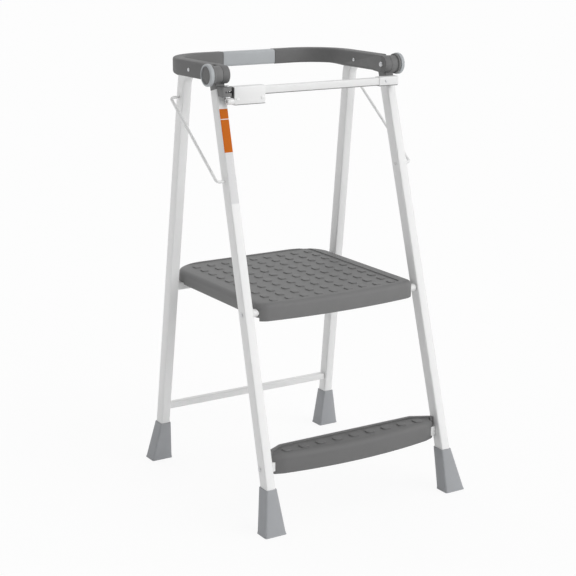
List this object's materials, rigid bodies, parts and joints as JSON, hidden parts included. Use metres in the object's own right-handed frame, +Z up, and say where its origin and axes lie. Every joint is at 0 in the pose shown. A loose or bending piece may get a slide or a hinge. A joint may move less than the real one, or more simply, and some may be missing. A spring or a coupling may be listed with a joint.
{
  "type": "folding step stool",
  "caption": "Folding step stool with tube legs, a large platform over a lower step, a hinged U-shaped hand rail, a swinging gate bar, wire stays and flared feet.",
  "frame": {"origin": "on the floor under the middle of the footprint of the four feet, in the middle plane between the left and right legs", "axes": "+X to the right seen from the front, +Y from the lower step towards the back, +Z up; millimetre source, metres here"},
  "size_m": [0.4984, 0.5318, 0.9095],
  "materials": {
    "white_steel": "gloss white powder coat",
    "dark_grey_plastic": "fine moulded grain",
    "light_grey_plastic": "satin moulded",
    "foot_rubber": "soft matt",
    "zinc_steel": "zinc plated"
  },
  "bodies": {
    "front_frame": {"front_leg_left": "white_steel", "front_leg_right": "white_steel", "front_foot_left": "foot_rubber", "front_foot_right": "foot_rubber", "hinge_fitting_left": "dark_grey_plastic", "hinge_fitting_right": "dark_grey_plastic", "hinge_pin_left": "zinc_steel", "hinge_pin_right": "zinc_steel", "hinge_ring_left": "light_grey_plastic", "hinge_ring_right": "light_grey_plastic", "hinge_cap_left": "dark_grey_plastic", "hinge_cap_right": "dark_grey_plastic", "lower_step": "dark_grey_plastic", "lower_step_bar": "white_steel", "step_rivet_left": "zinc_steel", "step_rivet_right": "zinc_steel", "platform_pivot_tube": "white_steel", "platform_rivet_left": "zinc_steel", "platform_rivet_right": "zinc_steel", "gate_block": "dark_grey_plastic", "gate_pin": "zinc_steel"},
    "rail": {"rail_left": "dark_grey_plastic", "rail_right": "dark_grey_plastic", "rail_grip": "light_grey_plastic", "rail_core": "zinc_steel", "leg_rivet_left": "zinc_steel", "leg_rivet_right": "zinc_steel"},
    "rear_frame": {"rear_leg_left": "white_steel", "rear_leg_right": "white_steel", "rear_foot_left": "foot_rubber", "rear_foot_right": "foot_rubber", "rear_crossbar": "white_steel", "rear_support_bar": "white_steel"},
    "platform": {"platform": "dark_grey_plastic"},
    "stay_left": {"stay_left": "white_steel"},
    "stay_right": {"stay_right": "white_steel"},
    "gate": {"gate_bar": "white_steel", "gate_bracket": "white_steel", "gate_end_sleeve": "white_steel", "gate_bumper": "foot_rubber", "gate_rivet_1": "zinc_steel", "gate_rivet_2": "zinc_steel", "gate_sleeve_rivet": "zinc_steel"}
  },
  "joints": [
    {"name": "rail_fold", "type": "hinge", "parent": "front_frame", "child": "rail", "pos_m": [0, -0.0133, 0.887], "axis": [1, 0, 0], "range_deg": [0, 40]},
    {"name": "rear_legs_fold", "type": "hinge", "parent": "rail", "child": "rear_frame", "pos_m": [0, 0.0892, 0.888], "axis": [1, 0, 0], "range_deg": [-65.5, 0]},
    {"name": "platform_fold", "type": "hinge", "parent": "front_frame", "child": "platform", "pos_m": [0, -0.12944, 0.424], "axis": [1, 0, 0], "range_deg": [0, 75]},
    {"name": "stay_left_swing", "type": "hinge", "parent": "front_frame", "child": "stay_left", "pos_m": [-0.208, -0.05825, 0.681], "axis": [1, 0, 0], "range_deg": [0, 18.4]},
    {"name": "stay_right_swing", "type": "hinge", "parent": "front_frame", "child": "stay_right", "pos_m": [0.208, -0.05825, 0.681], "axis": [1, 0, 0], "range_deg": [0, 18.4]},
    {"name": "gate_swing", "type": "hinge", "parent": "front_frame", "child": "gate", "pos_m": [-0.2, -0.03608, 0.8555], "axis": [0, 0, -1], "range_deg": [0, 90]}
  ],
  "couplings": [
    {"joint": "rear_legs_fold", "follows": "rail_fold", "ratio": -1.6262},
    {"joint": "platform_fold", "follows": "rail_fold", "ratio": 1.8629},
    {"joint": "stay_left_swing", "follows": "rail_fold", "ratio": 0.4485},
    {"joint": "stay_right_swing", "follows": "rail_fold", "ratio": 0.4485}
  ]
}
